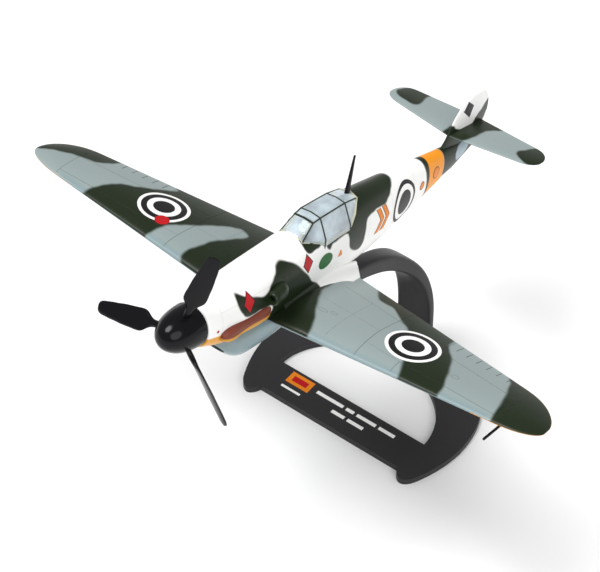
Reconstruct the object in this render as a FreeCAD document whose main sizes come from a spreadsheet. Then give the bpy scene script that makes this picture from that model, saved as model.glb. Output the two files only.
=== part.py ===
"""Display model of a single-engined propeller aircraft on a curled stand.

All lengths are in millimetres.  The row frame has its origin on the resting
plane, under the middle of the stand's front bar: +X points to the aircraft's
port (left) side, -Y towards the nose and +Z up.  The aircraft's own pieces are
drawn in the aircraft frame (origin at the spinner's tip, +Y aft along the
thrust line, +Z up) and placed with one nose-up placement.
"""
import math
import os

import FreeCAD
import Part
import Sketcher

V = FreeCAD.Vector
X_AXIS, Y_AXIS, Z_AXIS = V(1, 0, 0), V(0, 1, 0), V(0, 0, 1)

PARAMETERS = [
    # pose of the aircraft on its stand
    ("nose_up_angle", 16.0), ("spinner_tip_y", -61.8), ("spinner_tip_z", 83.7),
    # stand
    ("plate_thickness", 1.8), ("bar_front_y", -4.6), ("bar_rear_y", 5.0), ("bar_half_width", 21.2),
    ("foot_front_y", -7.2), ("ring_half_width", 30.3), ("ring_centre_y", 9.0), ("ring_rear_y", 34.0),
    ("ring_power", 2.5), ("hole_half_width", 22.4), ("hole_depth", 18.8),
    ("tongue_width", 6.0), ("tongue_depth", 1.6), ("tongue_centre_y", 32.1), ("tongue_height", 1.4),
    ("neck_radius", 2.3), ("neck_length", 6.2), ("neck_aircraft_y", 57.0), ("rest_aircraft_z", -8.85),
    ("peg_radius", 1.2), ("peg_length", 4.2), ("peg_clearance", 0.05),
    # fuselage
    ("cowl_front", 9.9), ("skin_wall", 1.1), ("cavity_front", 14.5), ("cavity_rear", 97.0),
    ("section_power", 2.2), ("wing_split_z", -6.9), ("belly_front", 29.0), ("belly_rear", 63.0),
    ("opening_half_width", 4.0), ("opening_front", 46.0), ("opening_rear", 60.0),
    ("opening_floor", -4.0),
    # wing and tailplane
    ("wing_half_span", 68.9), ("wing_le_root", 31.4), ("wing_le_slope", 0.046), ("wing_te_root", 62.1),
    ("wing_te_slope", 0.219), ("wing_root_z", -6.74), ("wing_dihedral", 4.0), ("wing_tip_y", 38.5),
    ("root_thickness_ratio", 0.14), ("tip_thickness_ratio", 0.11),
    ("tail_half_span", 21.5), ("tail_le_root", 104.5), ("tail_te_root", 118.5), ("tail_z", 10.5),
    ("tail_tip_y", 112.0),
    # propeller group
    ("prop_radius", 21.5), ("prop_plane", 6.17), ("prop_first_angle", 104.4), ("blade_pitch", 32.0),
    ("spinner_tip", 0.5), ("spinner_rear", 9.0), ("spinner_radius", 4.85), ("hub_radius", 3.2),
    ("hub_front", 3.6), ("backplate_thickness", 0.6), ("shaft_radius", 0.9), ("shaft_front", 4.6),
    ("shaft_length", 14.2), ("bearing_clearance", 0.05), ("bearing_outer_radius", 2.2),
    ("bearing_length", 5.4), ("collar_radius", 1.9), ("collar_length", 1.6), ("collar_gap", 0.3),
    # cockpit
    ("canopy_wall", 0.45), ("tub_wall", 0.6), ("tub_height", 9.2), ("seat_width", 4.4),
    ("seat_depth", 4.0), ("seat_height", 2.2), ("seat_back_height", 6.6), ("seat_back_depth", 0.9),
    ("seat_front_y", 51.8), ("panel_width", 6.0), ("panel_height", 4.6), ("panel_depth", 0.7),
    ("panel_base_z", 0.4), ("stick_radius", 0.28), ("stick_height", 3.9), ("stick_y", 49.6),
    # small fittings
    ("mast_y", 62.2), ("mast_base_z", 9.6), ("mast_tip_z", 20.6), ("mast_base_chord", 2.0),
    ("mast_tip_chord", 0.7), ("mast_base_width", 1.0), ("mast_tip_width", 0.45),
    ("exhaust_front", 13.6), ("exhaust_rear", 29.7), ("exhaust_z", -2.05),
    ("exhaust_half_height", 1.5), ("exhaust_outer_x", 6.9), ("intake_radius", 1.5),
    ("intake_bore_radius", 0.85), ("intake_bore_depth", 1.4), ("intake_front", 27.8),
    ("intake_x", 7.1), ("intake_z", 1.8), ("pitot_radius", 0.3), ("pitot_length", 8.0),
    ("pitot_x", 60.3), ("pitot_front_y", 29.4), ("pitot_z", -3.6), ("socket_width", 7.4),
    ("socket_front", 47.0), ("socket_rear", 60.5), ("socket_base_z", -8.0), ("socket_top_z", -4.2),
    ("screw_head_radius", 1.1), ("screw_head_height", 0.7), ("screw_shank_radius", 0.6),
    ("screw_shank_length", 3.6), ("screw_x", 2.7), ("screw_y", 49.4), ("screw_head_z", -8.2),
    ("screw_slot_width", 0.3), ("screw_slot_length", 1.5), ("screw_slot_depth", 0.35),
    ("tail_wheel_radius", 1.3), ("tail_wheel_width", 0.9), ("tail_wheel_y", 108.9),
    ("tail_wheel_z", 1.2), ("radiator_inner_x", 10.5), ("radiator_outer_x", 18.0),
    ("radiator_front", 41.5), ("radiator_rear", 54.5), ("radiator_depth", 1.5),
]

doc = FreeCAD.newDocument("display_aircraft")
sheet = doc.addObject("Spreadsheet::Sheet", "Sheet")
for row, (alias, value) in enumerate(PARAMETERS, start=1):
    sheet.set("A%d" % row, alias)
    sheet.set("B%d" % row, str(value))
    sheet.setAlias("B%d" % row, alias)
doc.recompute()


def val(alias):
    """Value of one sheet cell."""
    return float(sheet.get(alias))


AIRCRAFT = FreeCAD.Placement(V(0, val("spinner_tip_y"), val("spinner_tip_z")),
                             FreeCAD.Rotation(X_AXIS, -val("nose_up_angle")))
GROUND = FreeCAD.Placement()
exported = []


def keep(obj, node, placement=None):
    """Name an object as one physical piece and list it for export."""
    obj.Label = node
    if placement is not None:
        obj.Placement = placement
    exported.append((node, obj))
    return obj


def outward(shape):
    """The same shape with its faces pointing out of the material."""
    if shape.Volume < 0:
        shape = shape.copy()
        shape.reverse()
    return shape


def feature(node, shape, placement=AIRCRAFT):
    """Free-form piece whose shape is computed from the sheet's values."""
    obj = doc.addObject("Part::Feature", node)
    obj.Shape = outward(shape)
    return keep(obj, node, placement)


def bind(obj, **links):
    """Tie properties of a primitive to sheet aliases or expressions."""
    for prop, expression in links.items():
        obj.setExpression(prop.replace("__", "."), expression)
    return obj


def part_object(kind, name, **links):
    return bind(doc.addObject("Part::" + kind, name), **links)


def boolean(kind, name, first, second):
    """Cut or fuse of two document objects."""
    obj = doc.addObject("Part::" + kind, name)
    obj.Base, obj.Tool = first, second
    return obj


# ---------------------------------------------------------------- curves
def smooth_loop(points):
    curve = Part.BSplineCurve()
    curve.interpolate(points, PeriodicFlag=True)
    return Part.Wire([curve.toShape()])


def signed_power(value, power):
    return math.copysign(abs(value) ** power, value)


def oval(y, half_width, top, bottom, power, count=28, centre_x=0.0):
    """Closed superelliptic cross-section in the plane y = constant."""
    middle, half_height = (top + bottom) / 2.0, (top - bottom) / 2.0
    points = []
    for step in range(count):
        angle = 2.0 * math.pi * (step + 0.5) / count
        points.append(V(centre_x + half_width * signed_power(math.cos(angle), 2.0 / power), y,
                        middle + half_height * signed_power(math.sin(angle), 2.0 / power)))
    return smooth_loop(points)


def aerofoil(chord_start, chord_dir, lift_dir, chord, ratio, camber=0.02, blunt=0.004):
    """Closed aerofoil: one spline round the nose and a short blunt trailing edge."""
    upper, lower = [], []
    for step in range(13):
        s = (1.0 - math.cos(math.pi * step / 12.0)) / 2.0
        half = 5.0 * ratio * (0.2969 * math.sqrt(s) - 0.126 * s - 0.3516 * s ** 2
                              + 0.2843 * s ** 3 - 0.1036 * s ** 4) + blunt * s
        bend = camber * 4.0 * s * (1.0 - s)
        base = chord_start + chord_dir * (s * chord)
        upper.append(base + lift_dir * ((bend + half) * chord))
        lower.append(base + lift_dir * ((bend - half) * chord))
    points = list(reversed(upper)) + lower[1:]
    curve = Part.BSplineCurve()
    curve.interpolate(points)
    return Part.Wire([curve.toShape(), Part.makeLine(points[-1], points[0])])


def loft(wires, ruled=False):
    return Part.makeLoft(wires, True, ruled)


def box(x_range, y_range, z_range):
    return Part.makeBox(x_range[1] - x_range[0], y_range[1] - y_range[0], z_range[1] - z_range[0],
                        V(x_range[0], y_range[0], z_range[0]))


def largest_solid(shape):
    return max(shape.Solids, key=lambda solid: solid.Volume)


# ---------------------------------------------------------------- stand
def stand_plate_shape():
    """Flat base: a straight front bar, two rounded feet and a half ring behind a half-oval hole."""
    half, front, foot = val("ring_half_width"), val("bar_front_y"), val("foot_front_y")
    centre, rear, power = val("ring_centre_y"), val("ring_rear_y"), val("ring_power")
    bar = val("bar_half_width")
    foot_curve = [V(bar, front, 0), V(bar + 0.9, front - 1.7, 0), V(bar + 2.4, foot, 0),
                  V(bar + 3.9, foot + 0.6, 0), V(bar + 5.9, foot + 3.6, 0), V(half - 2.0, centre - 9.6, 0),
                  V(half - 0.7, centre - 4.9, 0), V(half, centre, 0)]
    ring_curve = []
    for step in range(17):
        angle = math.pi * step / 16.0
        ring_curve.append(V(half * signed_power(math.cos(angle), 2.0 / power),
                            centre + (rear - centre) * math.sin(angle) ** (2.0 / power), 0))
    right, ring, left = Part.BSplineCurve(), Part.BSplineCurve(), Part.BSplineCurve()
    right.interpolate(foot_curve)
    ring.interpolate(ring_curve)
    left.interpolate([V(-p.x, p.y, 0) for p in reversed(foot_curve)])
    outline = Part.Wire([right.toShape(), ring.toShape(), left.toShape(),
                         Part.makeLine(V(-bar, front, 0), V(bar, front, 0))])
    hole_centre = V(0, val("bar_rear_y"), 0)
    oval_curve = Part.Ellipse(hole_centre, val("hole_half_width"), val("hole_depth"))
    hole = Part.Wire([Part.Arc(oval_curve, 0.0, math.pi).toShape(),
                      Part.makeLine(V(-val("hole_half_width"), hole_centre.y, 0),
                                    V(val("hole_half_width"), hole_centre.y, 0))])
    plate = Part.Face(outline).extrude(V(0, 0, val("plate_thickness")))
    return plate.cut(Part.Face(hole).extrude(V(0, 0, val("plate_thickness"))))


def tongue_shape():
    """Block under the arm's foot that sits in a pocket in the base."""
    half_width, half_depth = val("tongue_width") / 2.0, val("tongue_depth") / 2.0
    centre, top = val("tongue_centre_y"), val("plate_thickness")
    return box((-half_width, half_width), (centre - half_depth, centre + half_depth),
               (top - val("tongue_height"), top + 0.5))


plate = stand_plate_shape().cut(tongue_shape())
feature("stand_base", largest_solid(plate), GROUND)

# Centre line of the arm, from the base up and forward: y, z, half-width, half-depth.
ARM_STATIONS = [
    (32.1, 1.8, 5.1, 1.5), (32.3, 8.0, 5.1, 1.5), (32.3, 14.0, 5.0, 1.5), (31.6, 20.0, 4.9, 1.55),
    (30.0, 26.0, 4.6, 1.65), (27.3, 31.8, 4.2, 1.8), (23.6, 36.9, 3.6, 1.95), (19.2, 41.3, 3.0, 2.1),
    (14.3, 44.9, 2.6, 2.2), (9.2, 47.6, 2.4, 2.2), (4.2, 49.6, 2.3, 2.2), (-1.0, 51.0, 2.3, 2.2),
    (-6.0, 52.0, 2.2, 2.1), (-12.2, 52.8, 1.9, 1.8),
]


def rounded_section(centre, along, half_width, half_depth):
    """Rounded-rectangle section square to the arm's centre line."""
    across = X_AXIS
    deep = along.cross(across)
    points = []
    for step in range(24):
        angle = 2.0 * math.pi * (step + 0.5) / 24
        points.append(centre + across * (half_width * signed_power(math.cos(angle), 0.42))
                      + deep * (half_depth * signed_power(math.sin(angle), 0.42)))
    return smooth_loop(points)


def arm_shape():
    sections = []
    for index, (y, z, half_width, half_depth) in enumerate(ARM_STATIONS):
        before = ARM_STATIONS[max(index - 1, 0)]
        after = ARM_STATIONS[min(index + 1, len(ARM_STATIONS) - 1)]
        along = V(0, after[0] - before[0], after[1] - before[1])
        if index == 0:
            along = V(Z_AXIS)
        along.normalize()
        sections.append(rounded_section(V(0, y, z), along, half_width, half_depth))
    arm = loft(sections)
    rest = AIRCRAFT.multVec(V(0, val("neck_aircraft_y"), val("rest_aircraft_z")))
    up = AIRCRAFT.Rotation.multVec(Z_AXIS)
    neck = Part.makeCylinder(val("neck_radius"), val("neck_length"), rest - up * val("neck_length"), up)
    peg = Part.makeCylinder(val("peg_radius"), val("peg_length") + 0.5, rest - up * 0.5, up)
    return largest_solid(arm.fuse(tongue_shape()).fuse(neck.fuse(peg)))


feature("stand_arm", arm_shape(), GROUND)

# ---------------------------------------------------------------- fuselage
# y, half-width, top, bottom of each cross-section from the cowl's front to the sternpost.
FUSELAGE_SECTIONS = [
    (9.9, 4.95, 4.98, -4.98), (14.0, 5.55, 5.78, -6.50), (20.0, 6.00, 6.40, -7.85),
    (28.0, 6.25, 7.10, -8.55), (36.0, 6.25, 7.80, -8.90), (43.0, 6.10, 8.55, -9.00),
    (50.0, 5.95, 9.45, -9.00), (58.0, 5.80, 10.35, -8.75), (66.0, 5.50, 10.45, -8.05),
    (74.0, 5.00, 9.90, -6.90), (84.0, 4.05, 9.15, -4.85), (94.0, 3.05, 8.35, -2.85),
    (104.0, 2.10, 7.60, -0.60), (109.0, 1.70, 7.30, 0.70), (112.5, 1.40, 7.20, 2.00),
    (118.5, 0.80, 6.90, 3.90),
]
# z, leading-edge y, trailing-edge y, half-thickness of the fin and rudder.
FIN_SECTIONS = [
    (3.6, 112.0, 119.6, 0.55), (5.2, 108.0, 121.0, 0.75), (7.6, 101.8, 121.3, 0.85),
    (9.5, 103.4, 121.4, 0.85), (12.0, 104.7, 121.3, 0.80), (14.5, 106.0, 121.0, 0.70),
    (16.2, 107.4, 120.4, 0.60), (17.4, 109.0, 119.5, 0.50), (18.2, 110.7, 118.5, 0.40),
    (18.7, 112.4, 117.2, 0.30),
]
POWER = val("section_power")


def body_loft(inset=0.0, sections=FUSELAGE_SECTIONS):
    return loft([oval(y, half - inset, top - inset, bottom + inset, POWER)
                 for y, half, top, bottom in sections])


def cavity_sections():
    """Hollow inside the skin, between its front and rear bulkheads."""
    front, rear = val("cavity_front"), val("cavity_rear")
    inside = [row for row in FUSELAGE_SECTIONS if front < row[0] < rear]
    return [between(front)] + inside + [between(rear)]


def between(y):
    """Cross-section interpolated at station y."""
    for first, second in zip(FUSELAGE_SECTIONS, FUSELAGE_SECTIONS[1:]):
        if first[0] <= y <= second[0]:
            share = (y - first[0]) / (second[0] - first[0])
            return tuple(a + (b - a) * share for a, b in zip(first, second))
    raise ValueError("station outside the fuselage")


def half_fin_section(side, z, lead, trail, half):
    """Half of a symmetrical aerofoil: one curved side and the flat face on the centre plane."""
    points = []
    for step in range(11):
        s = (1.0 - math.cos(math.pi * step / 10.0)) / 2.0
        bulge = 2.0 * math.sqrt(s) * (1.0 - 0.55 * s - 0.32 * s ** 2)
        points.append(V(side * half * bulge, lead + s * (trail - lead), z))
    curve = Part.BSplineCurve()
    curve.interpolate(points)
    rear = V(0, trail, z)
    return Part.Wire([curve.toShape(), Part.makeLine(points[-1], rear), Part.makeLine(rear, points[0])])


def half_fin(side):
    return loft([half_fin_section(side, *row) for row in FIN_SECTIONS], True)


outer_body = body_loft()
cavity = body_loft(val("skin_wall"), cavity_sections())
fins = {1: half_fin(1), -1: half_fin(-1)}


# ---------------------------------------------------------------- wing
def tip_taper(distance, half_span, start):
    """Fraction of the chord kept while the tip rounds off, 1 inboard to 0 at the tip."""
    if distance <= start:
        return 1.0
    share = (distance - start) / (half_span - start)
    return math.sqrt(max(0.0, 1.0 - share ** 2.6))


def wing_half(side):
    """One side's wing from the centre line to its rounded tip."""
    half_span = val("wing_half_span")
    stations = [0.0, 6.0, 15.0, 28.0, 42.0, 54.0, 59.5, 63.0, 65.8, 67.5, 68.5, half_span - 0.05]
    tip_y = val("wing_tip_y")
    rise = math.tan(math.radians(val("wing_dihedral")))
    wires = []
    for distance in stations:
        lead = val("wing_le_root") + val("wing_le_slope") * distance
        trail = val("wing_te_root") - val("wing_te_slope") * distance
        kept = tip_taper(distance, half_span, 58.0)
        lead = tip_y + (lead - tip_y) * kept
        trail = tip_y + 1.2 * (1.0 - kept) + (trail - tip_y - 1.2 * (1.0 - kept)) * kept
        share = distance / half_span
        ratio = val("root_thickness_ratio") * (1 - share) + val("tip_thickness_ratio") * share
        start = V(side * distance, lead, val("wing_root_z") + rise * distance)
        wires.append(aerofoil(start, Y_AXIS, Z_AXIS, trail - lead, ratio, camber=0.018))
    return loft(wires)


wing_pair = wing_half(1).fuse(wing_half(-1))
belly_box = box((-12, 12), (val("belly_front"), val("belly_rear")), (-14, val("wing_split_z")))
belly_pan = outer_body.common(belly_box)
wing_shape = wing_pair.fuse(belly_pan)

rest_z, socket_y = val("rest_aircraft_z"), val("neck_aircraft_y")
peg_hole_radius = val("peg_radius") + val("peg_clearance")
peg_hole = Part.makeCylinder(peg_hole_radius, 12.0, V(0, socket_y, -12.0), Z_AXIS)
neck_recess = Part.makeCylinder(val("neck_radius") + 0.35, 6.0, V(0, socket_y, rest_z - 6.0), Z_AXIS)
screw_holes = []
for screw_x in (-val("screw_x"), val("screw_x")):
    below = V(screw_x, val("screw_y"), val("screw_head_z") - 4.0)
    screw_depth = 4.0 + val("screw_shank_length")
    screw_holes.append(Part.makeCylinder(val("screw_head_radius"), 4.0, below, Z_AXIS))
    screw_holes.append(Part.makeCylinder(val("screw_shank_radius"), screw_depth, below, Z_AXIS))
wing_shape = wing_shape.cut([peg_hole, neck_recess] + screw_holes)
feature("main_wing", largest_solid(wing_shape))

# ---------------------------------------------------------------- fuselage halves
bearing_bore = Part.makeCylinder(val("bearing_outer_radius"), 8.0, V(0, val("cowl_front") - 1.0, 0), Y_AXIS)
opening = box((-val("opening_half_width"), val("opening_half_width")),
              (val("opening_front"), val("opening_rear")), (val("opening_floor"), 14.0))
body_cuts = [bearing_bore, opening, belly_box, wing_pair] + screw_holes

# y, reach along the wing, height on the fuselage's side and wing-top height of the root fillet.
FILLET_SECTIONS = [
    (35.0, 6.6, -3.3, -4.4), (40.0, 7.0, -2.5, -4.25), (46.0, 7.8, -1.9, -4.35),
    (52.0, 8.7, -2.1, -4.75), (57.0, 9.3, -3.0, -5.3), (60.3, 8.9, -4.2, -5.85),
    (64.0, 5.7, -5.3, -6.1),
]


def fillet_shape(side):
    """Concave fairing between the fuselage's side and the top of the wing."""
    wires = []
    for y, reach, high, low in FILLET_SECTIONS:
        inner = between(y)[1] * 0.93
        corners = [(inner - 1.2, high)]
        for step in range(6):
            share = step / 5.0
            first, second, third = (1 - share) ** 2, 2 * share * (1 - share), share ** 2
            corners.append((first * inner + second * (inner + 0.25) + third * reach,
                            first * high + second * (low + 0.2) + third * low))
        corners += [(reach, low - 0.9), (inner - 1.2, low - 0.9)]
        points = [V(side * x, y, z) for x, z in corners]
        wires.append(Part.makePolygon(points + [points[0]]))
    return loft(wires, True).cut(cavity)


for node, side in (("fuselage_left", 1), ("fuselage_right", -1)):
    side_box = box(sorted((0, side * 20)), (0, 140), (-20, 30))
    half = outer_body.common(side_box).cut(cavity).fuse(fins[side]).fuse(fillet_shape(side))
    feature(node, largest_solid(half.cut(body_cuts)))


# ---------------------------------------------------------------- tailplane
def tail_half(side):
    half_span, rise_z = val("tail_half_span"), val("tail_z")
    stations = [0.3, 6.0, 12.0, 17.0, 18.8, 20.1, 20.9, 21.3, half_span]
    tip_y = val("tail_tip_y")
    wires = []
    for distance in stations:
        kept = tip_taper(distance, half_span + 0.02, 17.0)
        lead = val("tail_le_root") + 0.2 * distance
        trail = val("tail_te_root") - 0.064 * distance
        lead = tip_y + (lead - tip_y) * kept
        trail = tip_y + 0.8 * (1.0 - kept) + (trail - tip_y - 0.8 * (1.0 - kept)) * kept
        wires.append(aerofoil(V(side * distance, lead, rise_z), Y_AXIS, Z_AXIS, trail - lead, 0.095,
                              camber=0.0, blunt=0.006))
    return loft(wires)


outboard = [solid for solid in tail_half(1).cut(fins[1]).Solids if solid.CenterOfMass.x > 1.0]
tail_left = Part.Solid(max(outboard, key=lambda solid: solid.Volume).Shells[0])
feature("tailplane_left", tail_left)
feature("tailplane_right", Part.Solid(tail_left.mirror(V(0, 0, 0), X_AXIS).Shells[0]))

# ---------------------------------------------------------------- coolers and fairings
# y, half-width, top, bottom of the chin cooler's cross-sections.
COOLER_SECTIONS = [
    (20.0, 3.0, -6.5, -9.8), (20.8, 4.5, -5.5, -11.6), (22.6, 5.3, -5.0, -12.9),
    (26.0, 5.5, -5.0, -13.5), (30.0, 5.5, -5.0, -13.5), (34.0, 5.4, -5.5, -13.2),
    (38.0, 5.2, -6.0, -12.7), (42.0, 4.6, -6.5, -11.7), (45.5, 3.2, -7.0, -10.2),
]
cooler = loft([oval(y, half, top, bottom, 2.6) for y, half, top, bottom in COOLER_SECTIONS])
duct = loft([oval(19.0, 2.0, -10.3, -11.1, 2.6), oval(23.2, 3.3, -10.3, -12.1, 2.6)])
cooler = cooler.cut([outer_body, duct, wing_pair])
feature("oil_cooler_fairing", largest_solid(cooler))


def radiator_shape(side):
    """Shallow tapered radiator bath under one wing, cut to the wing's lower skin."""
    inner, outer = val("radiator_inner_x"), val("radiator_outer_x")
    front, rear, depth = val("radiator_front"), val("radiator_rear"), val("radiator_depth")
    rise = math.tan(math.radians(val("wing_dihedral")))
    wires = []
    for y, extra in ((front, 0.9), (front + 1.2, 1.0), (rear - 3.0, 0.8), (rear, 0.45)):
        corners = []
        for x, up in ((inner, 3.0), (outer, 3.0), (outer - 0.4, 0.0), (inner + 0.4, 0.0)):
            z = val("wing_root_z") + rise * x - 1.7
            corners.append(V(side * x, y, z + up if up else z - depth * extra))
        wires.append(Part.makePolygon(corners + [corners[0]]))
    bath = loft(wires, True).cut(wing_pair)
    mouth_z = val("wing_root_z") + rise * (inner + outer) / 2 - 1.95
    mouth = box(sorted((side * (inner + 0.9), side * (outer - 0.9))), (front - 1, front + 2.2),
                (mouth_z - 0.85, mouth_z + 0.05))
    limit = val("wing_root_z") + rise * 14
    lower = [solid for solid in bath.cut(mouth).Solids if solid.CenterOfMass.z < limit]
    return max(lower, key=lambda solid: solid.Volume)


feature("wing_radiator_left", radiator_shape(1))
feature("wing_radiator_right", radiator_shape(-1))


def intake_shape():
    """Round air intake on the port cowling with a short rounded body behind it."""
    radius, front = val("intake_radius"), val("intake_front")
    centre_x, centre_z = val("intake_x"), val("intake_z")
    stations = [(0.0, 0.0, 0.82), (0.35, 0.0, 0.98), (1.4, -0.1, 1.1), (3.4, -0.5, 1.2), (5.0, -1.0, 1.12),
                (6.2, -1.7, 0.7)]
    wires = []
    for aft, inward, scale in stations:
        size = radius * scale
        wires.append(oval(front + aft, size, centre_z + size, centre_z - size, 2.0, 16, centre_x + inward))
    bore = Part.makeCylinder(val("intake_bore_radius"), val("intake_bore_depth"),
                             V(centre_x, front - 0.2, centre_z), Y_AXIS)
    return largest_solid(loft(wires).cut([outer_body, bore]))


intake = intake_shape()
feature("supercharger_intake", intake)


def exhaust_shape(side):
    """Smooth exhaust fairing with rounded ends, cut to the cowling's skin."""
    front, rear, z = val("exhaust_front"), val("exhaust_rear"), val("exhaust_z")
    half, reach = val("exhaust_half_height"), val("exhaust_outer_x")
    strip_sections = [(front, -0.7, 0.6), (front + 0.9, -0.1, 0.95), ((front + rear) / 2, 0.0, 1.0),
                      (rear - 0.9, -0.1, 0.95), (rear, -0.7, 0.6)]
    wires = [oval(y, 1.6, z + half * high, z - half * high, 2.6, 16, side * (reach + shift - 1.6))
             for y, shift, high in strip_sections]
    return largest_solid(loft(wires).cut([outer_body, intake]))


feature("exhaust_left", exhaust_shape(1))
feature("exhaust_right", exhaust_shape(-1))

# ---------------------------------------------------------------- canopy
# y, then half-width and height of the skirt, the sill, the roof's corner and the roof's middle.
CANOPY_SECTIONS = [
    (42.4, 3.5, 5.5, 3.0, 7.65, 2.6, 8.1, 8.3),
    (46.2, 4.5, 4.6, 4.3, 7.1, 2.45, 10.85, 11.05),
    (48.5, 5.25, 4.0, 5.05, 6.9, 2.6, 11.3, 11.6),
    (57.8, 5.25, 4.0, 5.1, 6.9, 2.5, 11.4, 11.7),
    (62.0, 4.9, 4.0, 4.8, 7.0, 2.3, 10.9, 11.2),
    (65.2, 4.6, 4.0, 4.4, 6.9, 2.1, 10.4, 10.7),
]


def canopy_section(row, inset):
    y, skirt_x, skirt_z, sill_x, sill_z, roof_x, roof_z, crown_z = row
    right = [(skirt_x - inset, skirt_z), (sill_x - inset, sill_z), (roof_x - inset * 0.6, roof_z - inset)]
    points = [V(x, y, z) for x, z in right] + [V(0, y, crown_z - inset)]
    points += [V(-x, y, z) for x, z in reversed(right)]
    return Part.makePolygon(points + [points[0]])


def canopy_inner_rows():
    wall = val("canopy_wall")
    rows = [list(row) for row in CANOPY_SECTIONS]
    rows[0][0] += wall * 2.2
    rows[-1][0] -= wall * 2.2
    return rows


glazing = loft([canopy_section(row, 0.0) for row in CANOPY_SECTIONS], True)
hollow = loft([canopy_section(row, val("canopy_wall")) for row in canopy_inner_rows()], True)
skirt_cut = box((-8, 8), (30, 80), (3.0, 4.2))
rear_outline = [V(-8, 57.95, 0), V(-8, 57.95, 6.7), V(-8, 63.3, 11.15), V(-8, 63.3, 14), V(-8, 80, 14),
                V(-8, 80, 0), V(-8, 57.95, 0)]
rear_cut = Part.Face(Part.makePolygon(rear_outline)).extrude(V(16, 0, 0))
canopy_shape = glazing.cut([hollow, skirt_cut, rear_cut, outer_body])
feature("canopy", largest_solid(canopy_shape))

# ---------------------------------------------------------------- cockpit
tub_outer = part_object("Box", "tub_block", Length="Sheet.opening_half_width * 2",
                        Width="Sheet.opening_rear - Sheet.opening_front", Height="Sheet.tub_height",
                        Placement__Base__x="-Sheet.opening_half_width",
                        Placement__Base__y="Sheet.opening_front",
                        Placement__Base__z="Sheet.opening_floor")
tub_inner = part_object("Box", "tub_space", Length="(Sheet.opening_half_width - Sheet.tub_wall) * 2",
                        Width="Sheet.opening_rear - Sheet.opening_front - 2 * Sheet.tub_wall",
                        Height="Sheet.tub_height",
                        Placement__Base__x="-Sheet.opening_half_width + Sheet.tub_wall",
                        Placement__Base__y="Sheet.opening_front + Sheet.tub_wall",
                        Placement__Base__z="Sheet.opening_floor + Sheet.tub_wall")
keep(boolean("Cut", "cockpit_tub", tub_outer, tub_inner), "cockpit_tub", AIRCRAFT)

seat_pan = part_object("Box", "seat_pan", Length="Sheet.seat_width", Width="Sheet.seat_depth",
                       Height="Sheet.seat_height", Placement__Base__x="-Sheet.seat_width / 2",
                       Placement__Base__y="Sheet.seat_front_y",
                       Placement__Base__z="Sheet.opening_floor + Sheet.tub_wall")
seat_back = part_object("Box", "seat_back", Length="Sheet.seat_width", Width="Sheet.seat_back_depth",
                        Height="Sheet.seat_back_height", Placement__Base__x="-Sheet.seat_width / 2",
                        Placement__Base__y="Sheet.seat_front_y + Sheet.seat_depth",
                        Placement__Base__z="Sheet.opening_floor + Sheet.tub_wall")
keep(boolean("Fuse", "pilot_seat", seat_pan, seat_back), "pilot_seat", AIRCRAFT)

panel = part_object("Box", "instrument_panel", Length="Sheet.panel_width", Width="Sheet.panel_depth",
                    Height="Sheet.panel_height")
panel_corner = V(-val("panel_width") / 2, val("opening_front") + val("tub_wall"), val("panel_base_z"))
keep(panel, "instrument_panel",
     AIRCRAFT.multiply(FreeCAD.Placement(panel_corner, FreeCAD.Rotation())))

stick = part_object("Cylinder", "control_stick", Radius="Sheet.stick_radius", Height="Sheet.stick_height")
stick_foot = V(0, val("stick_y"), val("opening_floor") + val("tub_wall"))
keep(stick, "control_stick",
     AIRCRAFT.multiply(FreeCAD.Placement(stick_foot, FreeCAD.Rotation())))


# ---------------------------------------------------------------- mast, pitot tube, tail wheel
def mast_section(z, chord, width):
    return smooth_loop([V(width / 2 * math.cos(a), val("mast_y") + chord / 2 * math.sin(a), z)
                        for a in (2 * math.pi * step / 16 for step in range(16))])


mast = loft([mast_section(val("mast_base_z"), val("mast_base_chord"), val("mast_base_width")),
             mast_section(val("mast_tip_z"), val("mast_tip_chord"), val("mast_tip_width"))])
feature("antenna_mast", largest_solid(mast.cut([outer_body, glazing])))

pitot_front = V(val("pitot_x"), val("pitot_front_y"), val("pitot_z"))
pitot_rear = pitot_front + Y_AXIS * (val("pitot_length") - 0.2)
pitot_rod = Part.makeCylinder(val("pitot_radius"), val("pitot_length"), pitot_front, Y_AXIS)
pitot_knee = Part.makeSphere(val("pitot_radius"), pitot_rear)
pitot_arm = Part.makeCylinder(val("pitot_radius"), 3.2, pitot_rear - Y_AXIS * 0.2, V(0, 0.35, 1))
pitot = pitot_rod.fuse([pitot_knee, pitot_arm]).cut(wing_pair)
pitot_parts = sorted(pitot.Solids, key=lambda solid: solid.BoundBox.YMin)
feature("pitot_tube", pitot_parts[0])

wheel = Part.makeCylinder(val("tail_wheel_radius"), val("tail_wheel_width"),
                          V(-val("tail_wheel_width") / 2, val("tail_wheel_y"), val("tail_wheel_z")), X_AXIS)
tail_wheel = wheel.cut(outer_body)
feature("tail_wheel", largest_solid(tail_wheel))


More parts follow.
